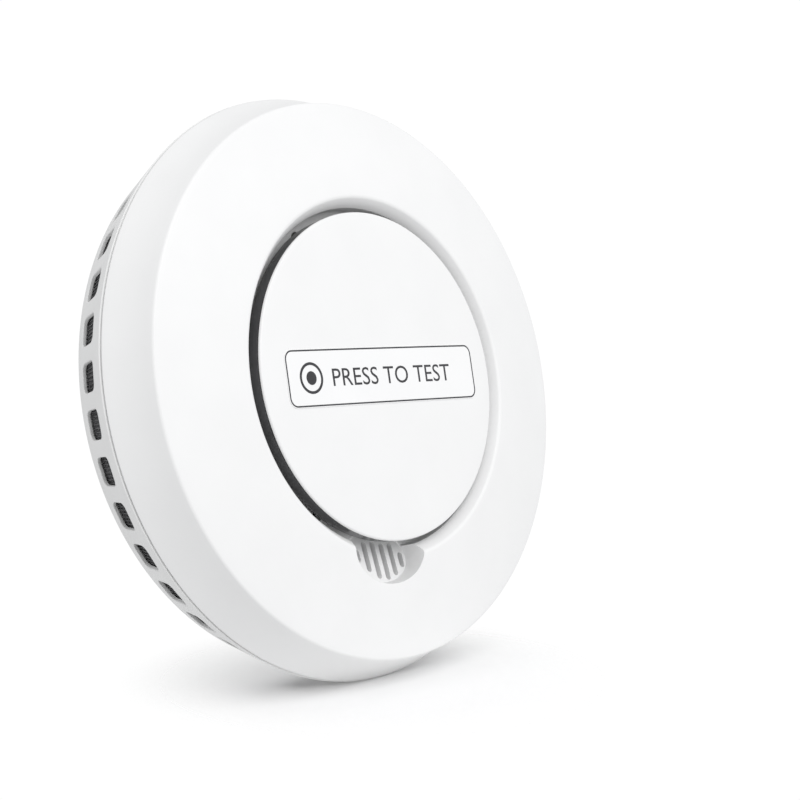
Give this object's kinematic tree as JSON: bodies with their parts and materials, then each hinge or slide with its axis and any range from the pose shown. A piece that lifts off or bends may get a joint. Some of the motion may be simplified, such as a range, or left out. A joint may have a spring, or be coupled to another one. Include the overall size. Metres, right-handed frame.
{
  "type": "smoke detector",
  "caption": "Round white smoke alarm on a twist-lock bracket, with a large press-to-test button, sounder grille and vented rim.",
  "frame": {"origin": "centre of the mounting bracket's back face, on the wall or ceiling plane", "axes": "+Y along the alarm's axis into the wall, the button faces -Y; +Z towards twelve o'clock, the sounder grille is at -Z"},
  "size_m": [0.12, 0.0303, 0.12],
  "materials": {
    "white_plastic": "satin",
    "cover_white": "satin, very fine moulded grain",
    "steel_mesh": "woven wire",
    "zinc_steel": "zinc plated",
    "bright_steel": "tinned",
    "spring_steel": "drawn wire",
    "board_green": "solder mask",
    "black_plastic": "matt",
    "clear_lens": "clear epoxy",
    "dark_lens": "dark filter epoxy",
    "smoked_plastic": "smoked, translucent",
    "label_white": "film label",
    "lamp_white": "phosphor",
    "chip_black": "moulded epoxy",
    "capacitor_sleeve": "shrink sleeve",
    "ferrite_black": "ferrite",
    "socket_white": "natural nylon",
    "brass": "rolled sheet",
    "ceramic_grey": "silvered",
    "foam_black": "closed-cell foam",
    "battery_sleeve": "shrink sleeve"
  },
  "bodies": {
    "bracket": {"mounting_bracket": "white_plastic"},
    "alarm": {"rear_housing": "white_plastic", "front_cover": "cover_white", "insect_screen": "steel_mesh", "case_screws": "zinc_steel", "circuit_board": "board_green", "board_screws": "zinc_steel", "chamber_base": "black_plastic", "chamber_cap": "black_plastic", "chamber_mesh": "steel_mesh", "infrared_led": "clear_lens", "photodiode": "dark_lens", "switch_body": "black_plastic", "switch_plate": "bright_steel", "button_springs": "spring_steel", "ring_leds": "lamp_white", "microcontroller": "chip_black", "radio_module": "board_green", "radio_shield": "bright_steel", "capacitors": "capacitor_sleeve", "sounder_coil": "ferrite_black", "battery_socket": "socket_white", "sounder_cup": "black_plastic", "piezo_plate": "brass", "piezo_ceramic": "ceramic_grey", "sounder_cap": "black_plastic", "sounder_seal": "foam_black", "battery_cradle": "black_plastic", "battery": "battery_sleeve", "battery_contact_plus": "bright_steel", "battery_contact_minus": "bright_steel", "rating_label": "label_white"},
    "test_button": {"button_cap": "cover_white", "light_ring": "smoked_plastic", "button_badge": "label_white"},
    "plunger": {"switch_plunger": "black_plastic"}
  },
  "joints": [
    {"name": "twist_lock", "type": "hinge", "parent": "bracket", "child": "alarm", "pos_m": [0, 0, 0], "axis": [0, -1, 0], "range_deg": [0, 18]},
    {"name": "button_press", "type": "slide", "parent": "alarm", "child": "test_button", "axis": [0, 1, 0], "range_m": [0, 0.0008], "stiffness_N_per_m": 1500, "springref_m": -0.001, "deforming": ["button_springs"]},
    {"name": "plunger_travel", "type": "slide", "parent": "alarm", "child": "plunger", "axis": [0, 1, 0], "range_m": [0, 0.0008]}
  ],
  "couplings": [
    {"joint": "plunger_travel", "follows": "button_press", "ratio": 1}
  ]
}
